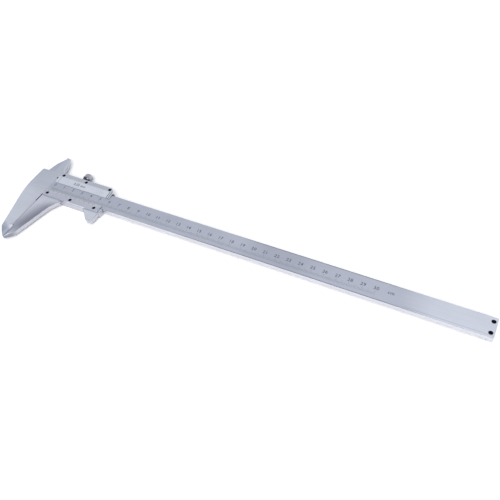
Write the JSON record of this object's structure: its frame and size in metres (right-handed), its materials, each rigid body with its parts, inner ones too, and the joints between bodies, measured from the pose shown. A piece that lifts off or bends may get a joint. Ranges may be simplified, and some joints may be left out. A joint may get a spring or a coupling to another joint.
{
  "type": "vernier caliper",
  "caption": "Steel vernier caliper with outside and inside jaws, a sliding vernier frame with clamp screw, and a depth rod in the beam's back.",
  "frame": {"origin": "under the middle of the caliper's box, on the surface it lies on", "axes": "+X along the beam from the jaws to the free end, +Y from the outside jaws to the inside jaws, +Z out of the graduated face"},
  "size_m": [0.4106, 0.1036, 0.0082],
  "materials": {
    "ground_steel": "fine ground stainless steel",
    "satin_chrome": "satin chromed steel",
    "black_steel": "blackened steel",
    "bronze": "rolled phosphor bronze"
  },
  "bodies": {
    "beam": {"beam_and_fixed_jaw": "ground_steel", "rear_stop": "ground_steel", "stop_screw_lower": "black_steel", "stop_screw_upper": "black_steel"},
    "slider": {"slider_frame": "ground_steel", "upper_plate": "satin_chrome", "vernier_plate": "satin_chrome", "upper_plate_screw_left": "black_steel", "upper_plate_screw_middle": "black_steel", "upper_plate_screw_right": "black_steel", "vernier_plate_screw_left": "black_steel", "vernier_plate_screw_middle": "black_steel", "vernier_plate_screw_right": "black_steel", "gib_screw_left": "black_steel", "gib_screw_right": "black_steel", "depth_rod": "ground_steel", "rod_rivet_left": "ground_steel", "rod_rivet_right": "ground_steel"},
    "gib": {"gib_strip": "bronze"},
    "clamp": {"lock_screw": "ground_steel"}
  },
  "joints": [
    {"name": "slider_travel", "type": "slide", "parent": "beam", "child": "slider", "axis": [1, 0, 0], "range_m": [0, 0.32]},
    {"name": "gib_press", "type": "slide", "parent": "slider", "child": "gib", "axis": [0, -1, 0], "range_m": [0, 0.0002]},
    {"name": "lock_screw_turn", "type": "hinge", "parent": "gib", "child": "clamp", "pos_m": [-0.1582, 0.0248, 0.0042], "axis": [0, -1, 0], "range_deg": [0, 144]}
  ],
  "couplings": [
    {"joint": "lock_screw_turn", "follows": "gib_press", "rad_per_m": 12566}
  ]
}
